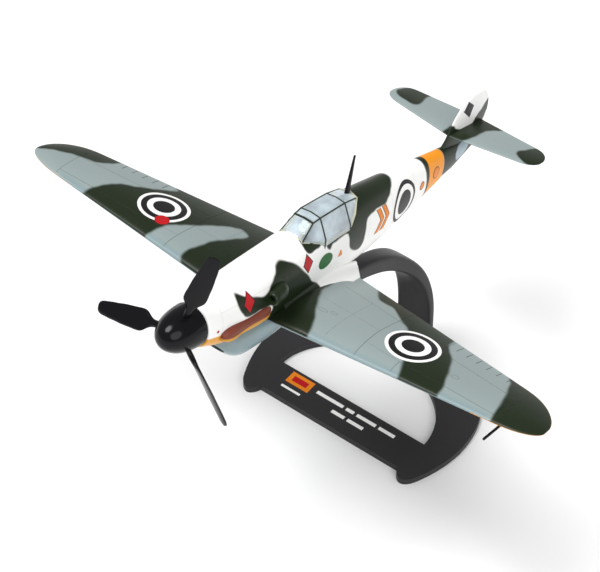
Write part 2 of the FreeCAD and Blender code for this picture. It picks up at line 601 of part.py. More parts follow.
# ---------------------------------------------------------------- turned and moulded round pieces
def ring_body(node, outer, length, station, inner=None):
    """Round piece on the thrust line: a circle, optionally with a bore, padded aft from station y."""
    body = doc.addObject("PartDesign::Body", node)
    sketch = body.newObject("Sketcher::SketchObject", node + "_profile")
    plane = [f for f in body.Origin.OriginFeatures if "XZ" in f.Name][0]
    sketch.AttachmentSupport = [(plane, "")]
    sketch.MapMode = "FlatFace"
    for expression in [outer] + ([inner] if inner else []):
        index = sketch.addGeometry(Part.Circle(V(0, 0, 0), Z_AXIS, 1.0), False)
        sketch.addConstraint(Sketcher.Constraint("Coincident", index, 3, -1, 1))
        radius = sketch.addConstraint(Sketcher.Constraint("Radius", index, 1.0))
        sketch.setExpression("Constraints[%d]" % radius, expression)
    pad = body.newObject("PartDesign::Pad", node + "_pad")
    pad.Profile = sketch
    pad.setExpression("Length", length)
    pad.Reversed = True
    body.Tip = pad
    return keep(body, node, AIRCRAFT.multiply(FreeCAD.Placement(V(0, station, 0), FreeCAD.Rotation())))


ring_body("nose_bearing", "Sheet.bearing_outer_radius", "Sheet.bearing_length", val("cowl_front"),
          "Sheet.shaft_radius + Sheet.bearing_clearance")
ring_body("spinner_backplate", "Sheet.spinner_radius", "Sheet.backplate_thickness", val("spinner_rear"),
          "Sheet.shaft_radius")
ring_body("prop_shaft", "Sheet.shaft_radius", "Sheet.shaft_length", val("shaft_front"))
ring_body("retaining_collar", "Sheet.collar_radius", "Sheet.collar_length",
          val("cowl_front") + val("bearing_length") + val("collar_gap"), "Sheet.shaft_radius")


# ---------------------------------------------------------------- propeller and spinner
def blade_shape(angle):
    """One blade: a narrow root that widens into a paddle, twisted towards the tip."""
    # radius, chord, thickness, pitch offset
    stations = [(2.0, 1.5, 1.25, 8), (5.6, 1.55, 1.2, 8), (7.0, 1.9, 1.1, 7), (8.1, 3.2, 0.95, 6),
                (9.1, 4.45, 0.85, 4), (10.2, 4.75, 0.8, 3), (13.0, 4.45, 0.7, 0), (16.0, 3.95, 0.6, -3),
                (18.5, 3.45, 0.55, -5), (20.2, 3.0, 0.5, -7), (21.0, 2.5, 0.42, -8),
                (val("prop_radius"), 1.4, 0.3, -8)]
    radial = V(-math.sin(angle), 0, math.cos(angle))
    tangent = V(-math.cos(angle), 0, -math.sin(angle))
    wires = []
    for radius, chord, thick, offset in stations:
        pitch = math.radians(val("blade_pitch") + offset)
        chord_dir = tangent * math.cos(pitch) - Y_AXIS * math.sin(pitch)
        thick_dir = chord_dir.cross(radial)
        centre = V(0, val("prop_plane"), 0) + radial * radius
        section = []
        for step in range(16):
            turn = 2 * math.pi * step / 16
            section.append(centre + chord_dir * (chord / 2 * math.cos(turn))
                           + thick_dir * (thick / 2 * math.sin(turn)))
        wires.append(smooth_loop(section))
    return loft(wires)


first = math.radians(val("prop_first_angle"))
blades = [blade_shape(first + k * 2 * math.pi / 3) for k in range(3)]
hub_length = val("spinner_rear") - val("hub_front")
hub = Part.makeCylinder(val("hub_radius"), hub_length, V(0, val("hub_front"), 0), Y_AXIS)
shaft_bore = Part.makeCylinder(val("shaft_radius"), 10.0, V(0, val("shaft_front"), 0), Y_AXIS)
propeller = hub.fuse(blades).cut(shaft_bore)
feature("propeller_blades", largest_solid(propeller))


def spinner_shape():
    """Blunt rounded cone with a hub pocket and slots where the blades leave it."""
    tip, rear, radius = val("spinner_tip"), val("spinner_rear"), val("spinner_radius")
    # share of the length, share of the radius
    outline = [(0.02, 0.22), (0.08, 0.43), (0.2, 0.63), (0.35, 0.785), (0.55, 0.905), (0.78, 0.975),
               (1.0, 1.0)]
    profile = [V(0, tip, 0)]
    for share, height in outline:
        profile.append(V(radius * height, tip + (rear - tip) * share, 0))
    curve = Part.BSplineCurve()
    curve.interpolate(profile)
    centre = V(0, rear, 0)
    face = Part.Face(Part.Wire([curve.toShape(), Part.makeLine(profile[-1], centre),
                                Part.makeLine(centre, profile[0])]))
    turned = face.revolve(V(0, 0, 0), Y_AXIS, 360)
    return largest_solid(turned.cut([hub] + blades))


feature("spinner", spinner_shape())

# ---------------------------------------------------------------- belly socket and screws
socket = box((-val("socket_width") / 2, val("socket_width") / 2), (val("socket_front"), val("socket_rear")),
             (val("socket_base_z"), val("socket_top_z")))
socket = socket.common(cavity).cut([peg_hole, wing_pair, belly_pan] + screw_holes)
feature("belly_socket", largest_solid(socket))


def screw_shape(x):
    """Cross-head screw seen from below, its shank pointing up into the belly block."""
    y, seat_z, head_height = val("screw_y"), val("screw_head_z"), val("screw_head_height")
    head_z = seat_z - head_height
    head = Part.makeCylinder(val("screw_head_radius"), head_height, V(x, y, head_z), Z_AXIS)
    shank = Part.makeCylinder(val("screw_shank_radius"), val("screw_shank_length"), V(x, y, seat_z), Z_AXIS)
    narrow, wide = val("screw_slot_width") / 2, val("screw_slot_length") / 2
    z_range = (head_z - 0.1, head_z + val("screw_slot_depth"))
    slots = [box((x - narrow, x + narrow), (y - wide, y + wide), z_range),
             box((x - wide, x + wide), (y - narrow, y + narrow), z_range)]
    return head.fuse(shank).cut(slots)


feature("wing_screws", Part.makeCompound([screw_shape(-val("screw_x")), screw_shape(val("screw_x"))]))

# ---------------------------------------------------------------- checks and export
doc.recompute()
os.makedirs("parts", exist_ok=True)
for obj in doc.Objects:
    if any(flag in obj.State for flag in ("Invalid", "Error")):
        raise RuntimeError("object %s is %s" % (obj.Label, obj.State))
for node, obj in exported:
    if obj.Shape.isNull() or not obj.Shape.isValid():
        raise RuntimeError("shape of %s is null or not valid" % node)
    obj.Shape.exportStep(os.path.join("parts", node + ".step"))
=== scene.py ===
"""Looks of the display aircraft: paint, markings, glazing and stand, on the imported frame.

Shapes are worked out in millimetres in the aircraft frame (origin at the spinner's tip, +X port,
+Y aft, +Z up) and turned into the row frame in metres when a mesh is made.
"""
import math

import bpy
import numpy as np
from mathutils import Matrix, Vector
from mathutils.bvhtree import BVHTree


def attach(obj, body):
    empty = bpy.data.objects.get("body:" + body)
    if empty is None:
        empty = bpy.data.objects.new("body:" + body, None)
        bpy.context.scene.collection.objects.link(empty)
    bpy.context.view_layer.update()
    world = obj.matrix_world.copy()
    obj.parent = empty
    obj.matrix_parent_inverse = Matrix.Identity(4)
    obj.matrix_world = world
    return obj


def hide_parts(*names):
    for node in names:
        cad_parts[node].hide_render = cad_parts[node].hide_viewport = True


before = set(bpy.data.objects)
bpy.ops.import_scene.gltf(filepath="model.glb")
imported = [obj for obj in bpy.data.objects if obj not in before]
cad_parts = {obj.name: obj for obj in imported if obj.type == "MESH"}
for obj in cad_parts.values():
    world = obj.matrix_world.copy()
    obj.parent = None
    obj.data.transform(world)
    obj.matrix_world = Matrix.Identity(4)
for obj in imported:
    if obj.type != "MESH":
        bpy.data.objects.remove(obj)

MM = 0.001
NOSE_UP = math.radians(16.0)
TIP_Y, TIP_Z = -61.8, 83.7
SECTION_POWER = 2.2
PLATE_TOP = 1.8

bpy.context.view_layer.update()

# ------------------------------------------------------------------ camera
camera_data = bpy.data.cameras.new("camera")
camera_data.sensor_width = 36.0
camera_data.lens = 112.4
camera = bpy.data.objects.new("camera", camera_data)
bpy.context.scene.collection.objects.link(camera)
camera.location = (0.1731, -0.2406, 0.3629)
camera.rotation_euler = Vector((-0.41819, 0.54306, -0.72815)).to_track_quat("-Z", "Y").to_euler()
bpy.context.scene.camera = camera


# ------------------------------------------------------------------ number helpers
def to_row(points):
    """Aircraft frame in mm to row frame in metres."""
    points = np.asarray(points, float)
    cosine, sine = math.cos(NOSE_UP), math.sin(NOSE_UP)
    x, y, z = points[:, 0], points[:, 1], points[:, 2]
    return np.stack([x, y * cosine + z * sine + TIP_Y, -y * sine + z * cosine + TIP_Z], 1) * MM


def spline(xs, ys):
    """Natural cubic spline through the points, as a function of x."""
    xs, ys = np.asarray(xs, float), np.asarray(ys, float)
    count = len(xs)
    gap = np.diff(xs)
    matrix, right = np.eye(count), np.zeros(count)
    for i in range(1, count - 1):
        matrix[i, i - 1:i + 2] = gap[i - 1], 2 * (gap[i - 1] + gap[i]), gap[i]
        right[i] = 6 * ((ys[i + 1] - ys[i]) / gap[i] - (ys[i] - ys[i - 1]) / gap[i - 1])
    bend = np.linalg.solve(matrix, right)

    def value(x):
        x = np.asarray(x, float)
        i = np.clip(np.searchsorted(xs, x) - 1, 0, count - 2)
        h, a, b = gap[i], xs[i + 1] - x, x - xs[i]
        return ((bend[i] * a ** 3 + bend[i + 1] * b ** 3) / (6 * h)
                + (ys[i] / h - bend[i] * h / 6) * a + (ys[i + 1] / h - bend[i + 1] * h / 6) * b)
    return value


def polygon_distance(px, py, outline):
    """Signed distance to a closed outline, negative inside."""
    outline = np.asarray(outline, float)
    best = np.full(px.shape, 1e9)
    inside = np.zeros(px.shape, bool)
    for (ax, ay), (bx, by) in zip(outline, np.roll(outline, -1, 0)):
        dx, dy = bx - ax, by - ay
        share = np.clip(((px - ax) * dx + (py - ay) * dy) / (dx * dx + dy * dy), 0, 1)
        best = np.minimum(best, np.hypot(px - ax - share * dx, py - ay - share * dy))
        crosses = (ay > py) != (by > py)
        at = ax + (py - ay) * dx / np.where(dy == 0, 1e-9, dy)
        inside ^= crosses & (px < at)
    return np.where(inside, -best, best)


def rounded(outline, steps=10):
    """Closed outline through the given corners, rounded with a Catmull-Rom curve."""
    corner = np.asarray(outline, float)
    before, after, far = np.roll(corner, 1, 0), np.roll(corner, -1, 0), np.roll(corner, -2, 0)
    rows = []
    for t in np.arange(steps) / steps:
        slope = (after - before) * t
        bend = (2 * before - 5 * corner + 4 * after - far) * t ** 2
        twist = (3 * corner - before - 3 * after + far) * t ** 3
        rows.append(0.5 * (2 * corner + slope + bend + twist))
    return np.stack(rows, 1).reshape(-1, 2)


def wobble(a, b, size=0.07):
    """Small smooth irregularity that makes sprayed edges look natural."""
    return size * (np.sin(a * 1.31 + b * 0.77 + 0.4) + np.sin(a * 0.53 - b * 1.13 + 1.9)
                   + 0.6 * np.sin(a * 2.3 + b * 1.9))


def sprayed(px, py, outlines, softness=0.7):
    """Cover of sprayed patches: 1 inside any outline, 0 outside, soft in between."""
    cover = np.zeros(px.shape)
    for outline in outlines:
        distance = polygon_distance(px, py, rounded(outline)) + wobble(px, py)
        cover = np.maximum(cover, np.clip(0.5 - distance / softness, 0, 1))
    return cover * cover * (3 - 2 * cover)


def mix(first, second, share):
    """Row-wise blend of a colour table with one colour."""
    return first * (1 - share[:, None]) + np.asarray(second)[None, :] * share[:, None]


# ------------------------------------------------------------------ colours (linear RGB)
WHITE = np.array((0.90, 0.90, 0.88))
GREEN = np.array((0.0125, 0.0200, 0.0085))
GREY = np.array((0.262, 0.315, 0.312))
PALE_BLUE = np.array((0.20, 0.275, 0.295))
TAIL_BLUE = np.array((0.36, 0.44, 0.50))
ORANGE = np.array((0.84, 0.30, 0.012))
YELLOW = np.array((0.74, 0.33, 0.02))


# ------------------------------------------------------------------ materials
def nodes_of(name):
    """New material with its node tree and its shader."""
    material = bpy.data.materials.new(name)
    material.use_nodes = True
    tree = material.node_tree
    shader = tree.nodes["Principled BSDF"]
    return material, tree, shader


def link(tree, source, target):
    tree.links.new(source, target)


def noise_node(tree, scale, detail=3.0):
    """Noise between 0 and 1 that stays fixed to the object."""
    texture = tree.nodes.new("ShaderNodeTexNoise")
    texture.inputs["Scale"].default_value = scale
    texture.inputs["Detail"].default_value = detail
    link(tree, tree.nodes.new("ShaderNodeTexCoord").outputs["Object"], texture.inputs["Vector"])
    return texture.outputs["Fac"]


def ranged(tree, value, low, high):
    """Value stretched from 0..1 to low..high."""
    node = tree.nodes.new("ShaderNodeMapRange")
    node.inputs["To Min"].default_value = low
    node.inputs["To Max"].default_value = high
    link(tree, value, node.inputs["Value"])
    return node.outputs["Result"]


def bumped(tree, shader, height, distance):
    """Fine relief of the given depth in metres."""
    bump = tree.nodes.new("ShaderNodeBump")
    bump.inputs["Distance"].default_value = distance
    bump.inputs["Strength"].default_value = 1.0
    link(tree, height, bump.inputs["Height"])
    link(tree, bump.outputs["Normal"], shader.inputs["Normal"])


def scaled_colour(tree, colour_socket, factor):
    """Colour multiplied by a single value."""
    node = tree.nodes.new("ShaderNodeMix")
    node.data_type = "RGBA"
    node.blend_type = "MULTIPLY"
    node.inputs["Factor"].default_value = 1.0
    link(tree, colour_socket, node.inputs["A"])
    grey = tree.nodes.new("ShaderNodeCombineColor")
    for channel in ("Red", "Green", "Blue"):
        link(tree, factor, grey.inputs[channel])
    link(tree, grey.outputs["Color"], node.inputs["B"])
    return node.outputs["Result"]


def finish_material(name, colour=None, attribute=None, rough=(0.3, 0.42), tone=(0.94, 1.05), grain=900.0,
                    bump=0.000012, metallic=0.0, gloss=0.35):
    """Painted or moulded surface: colour with slow tonal variation, uneven sheen and fine surface texture."""
    material, tree, shader = nodes_of(name)
    if attribute:
        source = tree.nodes.new("ShaderNodeAttribute")
        source.attribute_name = attribute
        colour_socket = source.outputs["Color"]
    else:
        source = tree.nodes.new("ShaderNodeRGB")
        source.outputs[0].default_value = (*colour, 1.0)
        colour_socket = source.outputs[0]
    slow = noise_node(tree, 60.0, 4.0)
    link(tree, scaled_colour(tree, colour_socket, ranged(tree, slow, *tone)), shader.inputs["Base Color"])
    link(tree, ranged(tree, noise_node(tree, 180.0, 5.0), *rough), shader.inputs["Roughness"])
    bumped(tree, shader, noise_node(tree, grain, 2.0), bump)
    shader.inputs["Metallic"].default_value = metallic
    shader.inputs["Specular IOR Level"].default_value = gloss
    return material


PAINT = finish_material("camouflage_paint", attribute="paint", rough=(0.26, 0.38), gloss=0.2)
BLACK = finish_material("black_plastic", (0.0045, 0.0045, 0.006), rough=(0.12, 0.20), gloss=0.16)
STAND = finish_material("stand_paint", (0.031, 0.030, 0.032), rough=(0.36, 0.48), grain=1500.0, bump=0.00002,
                        gloss=0.16)
STEEL = finish_material("steel", (0.5, 0.5, 0.5), rough=(0.25, 0.4), metallic=1.0)
BRASS = finish_material("brass", (0.6, 0.42, 0.16), rough=(0.25, 0.4), metallic=1.0)
COCKPIT = finish_material("cockpit_paint", (0.40, 0.45, 0.47), rough=(0.5, 0.65))
TYRE = finish_material("tyre", (0.02, 0.02, 0.02), rough=(0.6, 0.75))
INTAKE = finish_material("intake_paint", tuple(GREEN), rough=(0.26, 0.38), gloss=0.2)
BLUE = finish_material("underside_paint", tuple(PALE_BLUE), rough=(0.14, 0.26), gloss=0.5)
MARK_WHITE = finish_material("mark_white", (0.88, 0.88, 0.86), rough=(0.35, 0.45))
MARK_BLACK = finish_material("mark_black", (0.008, 0.008, 0.009), rough=(0.3, 0.4), gloss=0.2)
MARK_ORANGE = finish_material("mark_orange", (0.76, 0.22, 0.012), rough=(0.3, 0.4), gloss=0.2)
MARK_RED = finish_material("mark_red", (0.46, 0.008, 0.012), rough=(0.3, 0.4), gloss=0.2)
MARK_GREEN = finish_material("mark_green", (0.004, 0.12, 0.018), rough=(0.3, 0.4), gloss=0.2)
MARK_OUTLINE = finish_material("mark_outline", (0.09, 0.035, 0.012), rough=(0.3, 0.4), gloss=0.2)
FRAME_GREEN = finish_material("canopy_frame_paint", (0.018, 0.026, 0.012), rough=(0.3, 0.4), gloss=0.2)
FRAME_PALE = finish_material("canopy_sill_paint", (0.50, 0.50, 0.38), rough=(0.35, 0.5))


def exhaust_finish():
    """Rust-brown upper part over an ochre lower lip, split at a fixed height in the aircraft frame."""
    material, tree, shader = nodes_of("exhaust_finish")
    coordinates = tree.nodes.new("ShaderNodeTexCoord")
    height = tree.nodes.new("ShaderNodeVectorMath")
    height.operation = "DOT_PRODUCT"
    height.inputs[1].default_value = (0.0, math.sin(NOSE_UP), math.cos(NOSE_UP))
    link(tree, coordinates.outputs["Object"], height.inputs[0])
    tip_height = (TIP_Y * math.sin(NOSE_UP) + TIP_Z * math.cos(NOSE_UP)) * MM
    split = tree.nodes.new("ShaderNodeMapRange")
    split.inputs["From Min"].default_value = tip_height - 2.35 * MM
    split.inputs["From Max"].default_value = tip_height - 2.15 * MM
    link(tree, height.outputs["Value"], split.inputs["Value"])
    colours = tree.nodes.new("ShaderNodeMix")
    colours.data_type = "RGBA"
    colours.inputs["A"].default_value = (0.58, 0.27, 0.025, 1)
    colours.inputs["B"].default_value = (0.19, 0.046, 0.026, 1)
    link(tree, split.outputs["Result"], colours.inputs["Factor"])
    shader.inputs["Specular IOR Level"].default_value = 0.25
    soot = ranged(tree, noise_node(tree, 260.0, 4.0), 0.72, 1.2)
    link(tree, scaled_colour(tree, colours.outputs["Result"], soot), shader.inputs["Base Color"])
    link(tree, ranged(tree, noise_node(tree, 200.0, 5.0), 0.38, 0.55), shader.inputs["Roughness"])
    bumped(tree, shader, noise_node(tree, 700.0, 2.0), 0.00002)
    return material


def clear_plastic():
    """Clear moulding with a blue tint, slightly milky and uneven, with a glossy outside."""
    material, tree, shader = nodes_of("clear_plastic")
    tint = tree.nodes.new("ShaderNodeRGB")
    tint.outputs[0].default_value = (0.82, 0.93, 1.0, 1)
    cloudy = ranged(tree, noise_node(tree, 260.0, 3.0), 0.80, 1.25)
    link(tree, scaled_colour(tree, tint.outputs[0], cloudy), shader.inputs["Base Color"])
    shader.inputs["IOR"].default_value = 1.35
    link(tree, ranged(tree, noise_node(tree, 210.0, 2.0), 0.35, 0.85), shader.inputs["Transmission Weight"])
    link(tree, ranged(tree, noise_node(tree, 220.0, 3.0), 0.05, 0.14), shader.inputs["Roughness"])
    shader.inputs["Coat Weight"].default_value = 0.8
    shader.inputs["Coat Roughness"].default_value = 0.04
    bumped(tree, shader, noise_node(tree, 160.0, 2.0), 0.00005)
    return material


def engraved(name, thin, strong):
    """Dark wash in an engraved line: mostly see-through so the paint's colour shows."""
    material, tree, shader = nodes_of(name)
    shader.inputs["Base Color"].default_value = (0.03, 0.035, 0.03, 1)
    shader.inputs["Roughness"].default_value = 0.6
    link(tree, ranged(tree, noise_node(tree, 300.0, 3.0), thin, strong), shader.inputs["Alpha"])
    return material


GLASS = clear_plastic()
EXHAUST = exhaust_finish()
LINE = engraved("engraved_line", 0.35, 0.70)
FAINT_LINE = engraved("faint_line", 0.10, 0.24)


# ------------------------------------------------------------------ meshes
def add_mesh(name, points, faces, material, body="aircraft", smooth=True, colours=None, local=True):
    """New mesh piece of quads, in the aircraft frame in mm, or in the row frame in mm when local is False."""
    points = np.asarray(points, float)
    vertices = to_row(points) if local else points * MM
    mesh = bpy.data.meshes.new(name)
    mesh.from_pydata(vertices.tolist(), [], np.asarray(faces).tolist())
    mesh.validate()
    if colours is not None:
        layer = mesh.attributes.new("paint", "FLOAT_COLOR", "POINT")
        layer.data.foreach_set("color", np.hstack([colours, np.ones((len(colours), 1))]).ravel())
    mesh.materials.append(material)
    mesh.polygons.foreach_set("use_smooth", [smooth] * len(mesh.polygons))
    mesh.update()
    piece = bpy.data.objects.new(name, mesh)
    bpy.context.scene.collection.objects.link(piece)
    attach(piece, body)
    return piece


def grid_faces(rows, columns, wrap=False, flip=False):
    """Quads of a rows x columns grid of vertices; wrap joins the last column to the first."""
    i, j = np.meshgrid(np.arange(rows - 1), np.arange(columns if wrap else columns - 1), indexing="ij")
    k = (j + 1) % columns
    quads = np.stack([i * columns + j, i * columns + k, (i + 1) * columns + k, (i + 1) * columns + j], -1)
    quads = quads.reshape(-1, 4)
    return quads[:, ::-1] if flip else quads


def tree_of(points, faces):
    """Search tree of a skin, used to lay markings on it."""
    return BVHTree.FromPolygons([tuple(p) for p in points], [tuple(f) for f in faces.tolist()])


# ------------------------------------------------------------------ fuselage
# y, half-width, top height, bottom height
STATIONS = [
    (9.9, 4.95, 4.98, -4.98), (14.0, 5.55, 5.78, -6.50), (20.0, 6.00, 6.40, -7.85),
    (28.0, 6.25, 7.10, -8.55), (36.0, 6.25, 7.80, -8.90), (43.0, 6.10, 8.55, -9.00),
    (50.0, 5.95, 9.45, -9.00), (58.0, 5.80, 10.35, -8.75), (66.0, 5.50, 10.45, -8.05),
    (74.0, 5.00, 9.90, -6.90), (84.0, 4.05, 9.15, -4.85), (94.0, 3.05, 8.35, -2.85),
    (104.0, 2.10, 7.60, -0.60), (109.0, 1.70, 7.30, 0.70), (112.5, 1.40, 7.20, 2.00),
    (118.5, 0.80, 6.90, 3.90),
]
half_width_at, top_at, bottom_at = (spline([row[0] for row in STATIONS], [row[k] for row in STATIONS])
                                    for k in (1, 2, 3))
NOSE_END, TAIL_END = STATIONS[0][0], STATIONS[-1][0]

# sprayed patches of the two sides as (y, z) outlines
COWL_PATCH = [
    (18.8, 5.2), (20.8, 4.5), (24, 3.2), (26.5, 2.5), (28, 3), (30.2, 4.5), (32.6, 6.3), (34.5, 6.8),
    (36.9, 6), (38.8, 4.4), (41.4, 1.9), (44.6, -1.4), (47.6, -4.0), (47.6, -9), (30, -9), (29.8, -1.2),
    (21.8, -0.4), (19.7, 1.2), (18.5, 3.2)]
WINDSCREEN_PATCH = [(42.4, 8.2), (43, 5.7), (47.3, 5.9), (46.4, 8.2)]
SPINE_PATCH = [
    (48.6, 12), (48.8, 6.2), (50.2, 4.1), (51.8, 5.0), (56.4, 5.2), (57.4, 4.3), (58.5, 1), (61.2, -0.7),
    (63.7, -0.8), (64.4, 1.9), (64.7, 5), (66, 6.2), (70.4, 6.4), (73, 6.2), (76.1, 8), (78.6, 9.6),
    (78.6, 12)]
FAR_COWL_PATCH = [
    (15, 1.0), (20, -0.6), (25, 0.8), (30, 2.4), (34, 1.2), (38, 2.2), (43, -2), (46, -9), (28, -9),
    (24, -3.4), (17, -1.8)]
FAR_SPINE_PATCH = [
    (48.6, 12), (49, 6), (53, 3), (59, 3.6), (63, 0.4), (69, 1.6), (71, 6), (75.5, 5.8), (77.6, 8),
    (78.6, 9.6), (78.6, 12)]
LOWER_COWLING = [(6, -2.0), (13, -1.6), (22, -2.6), (30, -3.4), (32, -5), (31, -12), (6, -12)]
BAND = (94.1, 101.5)
TAIL_START = 101.5
TAIL_PATCH = [(107.4, 5.4), (109.5, 6.8), (114.0, 7.0), (113.4, 4.9), (111.2, 3.4), (108.6, 3.2)]


def fuselage_paint(points, side, belly=True):
    """Colours of the fuselage: white, pale belly, yellow lower cowling, green patches, band and tail."""
    y, z = points[:, 1], points[:, 2]
    colour = np.repeat(WHITE[None, :], len(points), 0)
    if belly:
        below = np.clip((-5.2 + 0.075 * np.clip(y - 60, 0, 60) - z) / 0.9 + 0.5, 0, 1)
        colour = mix(colour, PALE_BLUE, below)
    colour = mix(colour, YELLOW, sprayed(y, z, [LOWER_COWLING], 0.4))
    if side > 0:
        colour = mix(colour, GREEN, sprayed(y, z, [COWL_PATCH, SPINE_PATCH], 0.45))
        colour = mix(colour, GREEN, sprayed(y, z, [WINDSCREEN_PATCH], 0.25))
    else:
        colour = mix(colour, GREEN, sprayed(y, z, [FAR_COWL_PATCH, FAR_SPINE_PATCH], 0.6))
    stripe = np.clip(0.5 - (np.abs(y - 93.2 - 0.07 * (8 - z)) - 0.75 - 0.07 * (z - 4)) / 0.3, 0, 1)
    colour = mix(colour, GREEN, stripe)
    in_band = np.clip(0.5 - (np.abs(y - sum(BAND) / 2) - (BAND[1] - BAND[0]) / 2) / 0.22, 0, 1)
    colour = mix(colour, ORANGE, in_band)
    tail = np.clip((y - TAIL_START) / 0.22 + 0.5, 0, 1) * np.clip((z - 1.4) / 0.8 + 0.5, 0, 1)
    colour = mix(colour, GREEN, tail)
    # a light-blue patch over the green, on the near side of the tail cone only
    if side > 0:
        colour = mix(colour, TAIL_BLUE, sprayed(y, z, [TAIL_PATCH], 0.4))
    return colour


def fuselage_grid(side):
    """One half of the hull, from the closed nose ring to the tail, top to bottom."""
    ys = np.concatenate([[NOSE_END] * 3, np.arange(10.0, 118.4, 0.25), [TAIL_END, TAIL_END + 0.4]])
    scale = np.concatenate([[0.42, 0.75, 0.97], np.ones(len(ys) - 4), [0.35]])
    angle = np.linspace(math.pi / 2, -math.pi / 2, 121)
    cosine, sine = np.cos(angle), np.sin(angle)
    across = np.sign(cosine) * np.abs(cosine) ** (2 / SECTION_POWER)
    upward = np.sign(sine) * np.abs(sine) ** (2 / SECTION_POWER)
    clipped = np.clip(ys, NOSE_END, TAIL_END)
    half, top, bottom = half_width_at(clipped), top_at(clipped), bottom_at(clipped)
    middle, height = (top + bottom) / 2, (top - bottom) / 2
    x = side * half[:, None] * scale[:, None] * across[None, :]
    z = middle[:, None] + height[:, None] * scale[:, None] * upward[None, :]
    y = np.repeat(ys[:, None], len(angle), 1)
    return np.stack([x, y, z], -1).reshape(-1, 3), len(ys), len(angle)


# x, y, radius of the peg's hole and the two screw holes
BELLY_HOLES = [(0.0, 57.0, 2.65), (2.7, 49.4, 1.1), (-2.7, 49.4, 1.1)]
COCKPIT_HALF_WIDTH, COCKPIT_FRONT, COCKPIT_REAR = 3.9, 46.1, 59.9
hull_points, hull_faces = [], []
for side, node in ((1, "fuselage_left"), (-1, "fuselage_right")):
    points, rows, columns = fuselage_grid(side)
    faces = grid_faces(rows, columns, flip=side < 0)
    centre = points[faces].mean(1)
    dropped = ((np.abs(centre[:, 0]) < COCKPIT_HALF_WIDTH) & (centre[:, 1] > COCKPIT_FRONT)
               & (centre[:, 1] < COCKPIT_REAR) & (centre[:, 2] > 4))
    for hole_x, hole_y, radius in BELLY_HOLES:
        near = np.hypot(centre[:, 0] - hole_x, centre[:, 1] - hole_y) < radius + 0.3
        dropped |= near & (centre[:, 2] < 0)
    hull_faces.append(faces + sum(len(p) for p in hull_points))
    hull_points.append(points)
    skin = add_mesh(node + "_skin", points, faces[~dropped], PAINT, colours=fuselage_paint(points, side))
    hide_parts(node)
hull_points = np.vstack(hull_points)
hull_faces = np.vstack(hull_faces)
HULL = tree_of(hull_points, hull_faces)

# y, reach along the wing, height on the side, wing-top height
FILLET_ROWS = [
    (35.0, 6.6, -3.3, -4.4), (40.0, 7.0, -2.5, -4.25), (46.0, 7.8, -1.9, -4.35), (52.0, 8.7, -2.1, -4.75),
    (57.0, 9.3, -3.0, -5.3), (60.3, 8.9, -4.2, -5.85), (64.0, 5.7, -5.3, -6.1)]


def fillet_points(side):
    """Curved fairing between the fuselage side and the wing's top."""
    ys = np.linspace(FILLET_ROWS[0][0], FILLET_ROWS[-1][0], 117)
    starts = [row[0] for row in FILLET_ROWS]
    reach, high, low = (np.interp(ys, starts, [row[k] for row in FILLET_ROWS])[:, None] for k in (1, 2, 3))
    inner = half_width_at(ys)[:, None] * 0.93
    t = np.linspace(0, 1, 13)[None, :]
    a, b, c = (1 - t) ** 2, 2 * t * (1 - t), t ** 2
    x = a * inner + b * (inner + 0.25) + c * reach
    z = a * high + b * (low + 0.2) + c * low
    x = np.hstack([inner - 0.5, x, reach])
    z = np.hstack([high, z, low - 0.6])
    y = np.repeat(ys[:, None], x.shape[1], 1)
    return np.stack([side * x, y, z], -1).reshape(-1, 3), len(ys), x.shape[1]


for side, node in ((1, "left"), (-1, "right")):
    points, rows, columns = fillet_points(side)
    piece = add_mesh("wing_root_fillet_" + node, points, grid_faces(rows, columns, flip=side < 0), PAINT,
                     colours=fuselage_paint(points, side, belly=False))

# z, leading edge, trailing edge, half-thickness of the fin and rudder
FIN_ROWS = [
    (3.6, 112.0, 119.6, 0.55), (5.2, 108.0, 121.0, 0.75), (7.6, 101.8, 121.3, 0.85),
    (9.5, 103.4, 121.4, 0.85), (12.0, 104.7, 121.3, 0.80), (14.5, 106.0, 121.0, 0.70),
    (16.2, 107.4, 120.4, 0.60), (17.4, 109.0, 119.5, 0.50), (18.2, 110.7, 118.5, 0.40),
    (18.7, 112.4, 117.2, 0.30)]


def fin_paint(points):
    """White fin with green at its foot and on the lower rudder."""
    y, z = points[:, 1], points[:, 2]
    colour = np.repeat(WHITE[None, :], len(points), 0)
    lower = [(98, 13.2), (104.8, 13.0), (106.8, 11.8), (110, 11.0), (113.4, 10.8), (116.9, 13.2),
             (122.5, 15.2), (122.5, 0), (98, 0)]
    behind = [(119.4, 8.2), (120.4, 11.0), (121.6, 12.8), (123, 13), (123, 7.6)]
    green = sprayed(y, z, [lower], 0.4) * (1 - sprayed(y, z, [behind], 0.4))
    return mix(colour, GREEN, green)


for side in (1, -1):
    zs = np.concatenate([np.linspace(FIN_ROWS[0][0], FIN_ROWS[-1][0], 90), [FIN_ROWS[-1][0] + 0.04]])
    shrink = np.concatenate([np.ones(90), [0.02]])
    share = (1 - np.cos(np.linspace(0, math.pi, 61))) / 2
    bulge = 2 * np.sqrt(share) * (1 - 0.55 * share - 0.32 * share ** 2)
    bulge[-1] = 0.0
    heights = [row[0] for row in FIN_ROWS]
    lead, trail, thick = (np.interp(zs, heights, [row[k] for row in FIN_ROWS]) for k in (1, 2, 3))
    y = lead[:, None] + (trail - lead)[:, None] * share[None, :]
    x = side * (thick * shrink)[:, None] * bulge[None, :]
    z = np.repeat(zs[:, None], len(share), 1)
    points = np.stack([x, y, z], -1).reshape(-1, 3)
    piece = add_mesh("fin_skin_%s" % ("left" if side > 0 else "right"), points,
                     grid_faces(len(zs), len(share), flip=side > 0), PAINT, colours=fin_paint(points))
    if side > 0:
        FIN = tree_of(points, grid_faces(len(zs), len(share)))


